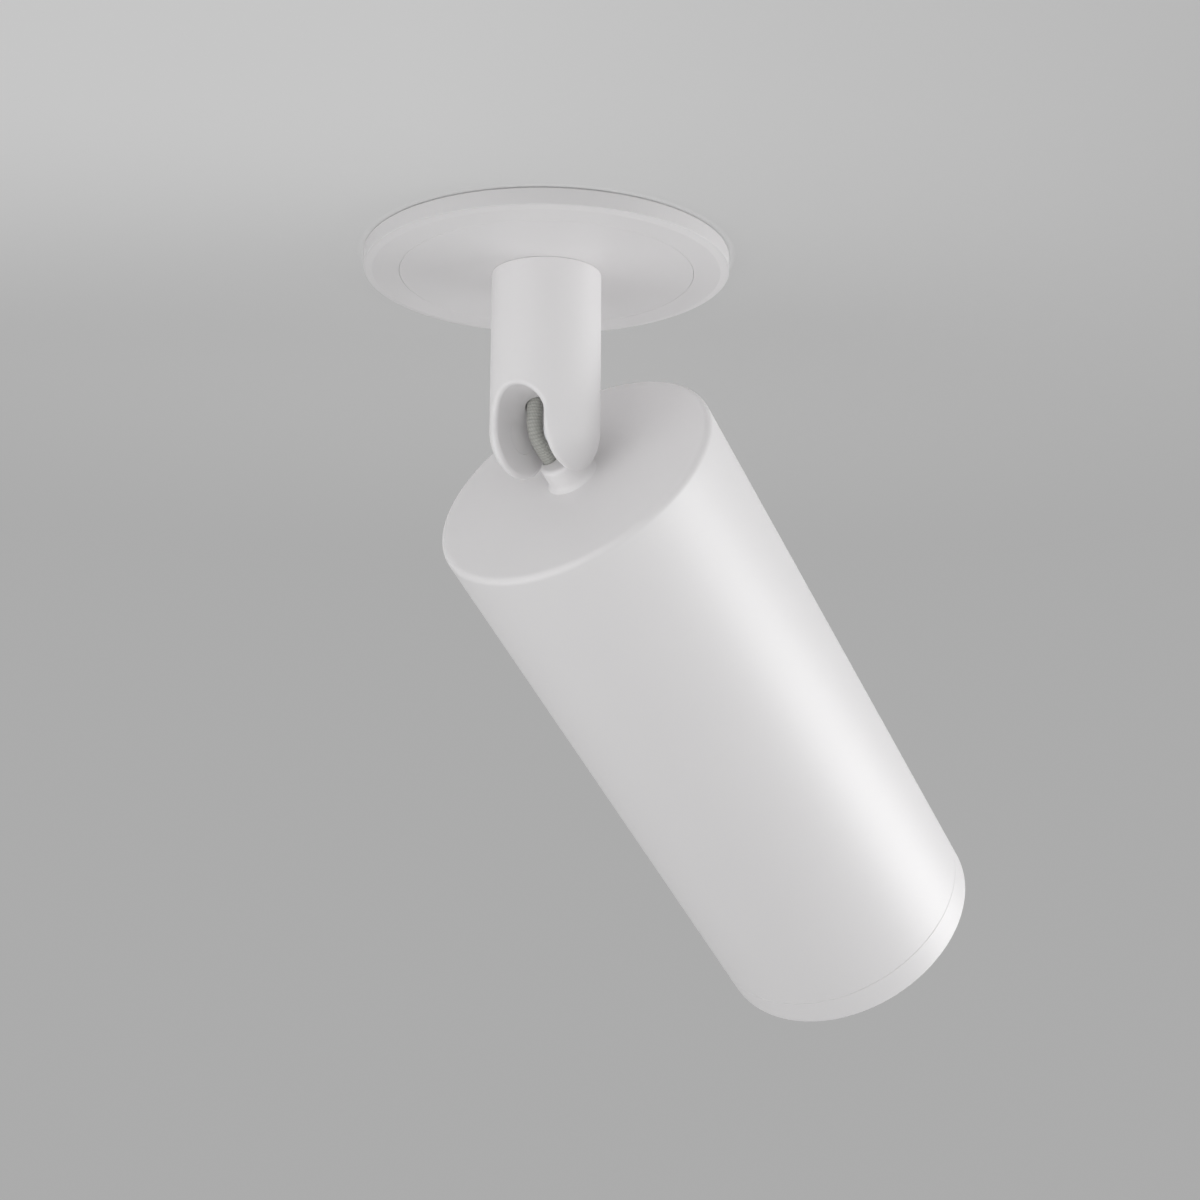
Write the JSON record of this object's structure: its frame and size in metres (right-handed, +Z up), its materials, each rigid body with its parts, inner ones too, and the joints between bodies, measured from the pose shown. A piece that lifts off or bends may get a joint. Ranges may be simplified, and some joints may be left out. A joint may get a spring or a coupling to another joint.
{
  "type": "semi-recessed spotlight",
  "caption": "White semi-recessed ceiling spotlight: a tube head tilts in a slotted stem that turns under a round plate held in the ceiling by sprung clips.",
  "frame": {"origin": "on the ceiling's face, on the axis of the round plate and of the stem", "axes": "+Z up into the ceiling, +Y along the tilt hinge away from the picture's side, +X the way that the head is tilted at rest"},
  "size_m": [0.1974, 0.072, 0.1832],
  "materials": {
    "white_coat": "satin",
    "zinc_steel": "satin",
    "spring_steel": "satin",
    "brass": "satin",
    "black_rubber": "matte",
    "white_plastic": "matte",
    "cream_ceramic": "matte",
    "lamp_white": "gloss",
    "lens_glass": "gloss",
    "black_baffle": "matte",
    "cable_sleeve": "matte"
  },
  "bodies": {
    "base": {"trim_ring": "white_coat", "centre_disc": "white_coat", "recess_can": "zinc_steel", "can_lid": "zinc_steel", "entry_grommet": "black_rubber", "floor_screws": "zinc_steel", "friction_washer": "white_plastic", "stop_pin": "zinc_steel", "terminal_block": "white_plastic", "terminal_screws": "brass", "block_screws": "zinc_steel", "supply_lead": "cable_sleeve", "clip_bracket_left": "zinc_steel", "clip_bracket_right": "zinc_steel", "clip_pin_left": "zinc_steel", "clip_pin_right": "zinc_steel", "clip_spring_left": "spring_steel", "clip_spring_right": "spring_steel", "clip_rivets": "zinc_steel"},
    "clip_left": {"clip_arm_left": "zinc_steel", "clip_pad_left": "black_rubber"},
    "clip_right": {"clip_arm_right": "zinc_steel", "clip_pad_right": "black_rubber"},
    "stem": {"stem_shell": "white_coat", "stem_nipple": "brass", "stop_washer": "zinc_steel", "nipple_nut": "brass", "hinge_screw": "zinc_steel", "hinge_washers": "zinc_steel", "access_plug": "white_coat", "stem_lead": "cable_sleeve", "flex_lead": "cable_sleeve"},
    "head": {"hinge_neck": "white_coat", "body_tube": "white_coat", "front_ring": "white_coat", "glare_baffle": "black_baffle", "lock_washer": "zinc_steel", "neck_nut": "brass", "holder_bracket": "zinc_steel", "holder_plate": "zinc_steel", "plate_screws": "zinc_steel", "holder_screws": "zinc_steel", "lamp_holder": "cream_ceramic", "lamp_pins": "zinc_steel", "lamp_shell": "lamp_white", "lamp_lens": "lens_glass", "head_lead": "cable_sleeve"}
  },
  "joints": [
    {"name": "stem_swivel", "type": "hinge", "parent": "base", "child": "stem", "pos_m": [0, 0, 0], "axis": [0, 0, 1], "range_deg": [-164, 164]},
    {"name": "head_tilt", "type": "hinge", "parent": "stem", "child": "head", "pos_m": [0, 0, -0.0355], "axis": [0, -1, 0], "range_deg": [-143.3, 36.7], "deforming": ["flex_lead"]},
    {"name": "clip_left_fold", "type": "hinge", "parent": "base", "child": "clip_left", "pos_m": [-0.02685, 0, 0.0136], "axis": [0, 1, 0], "range_deg": [0, 85], "stiffness_Nm_per_rad": 0.1, "springref_deg": -34.38, "deforming": ["clip_spring_left"]},
    {"name": "clip_right_fold", "type": "hinge", "parent": "base", "child": "clip_right", "pos_m": [0.02685, 0, 0.0136], "axis": [0, -1, 0], "range_deg": [0, 85], "stiffness_Nm_per_rad": 0.1, "springref_deg": -34.38, "deforming": ["clip_spring_right"]}
  ]
}
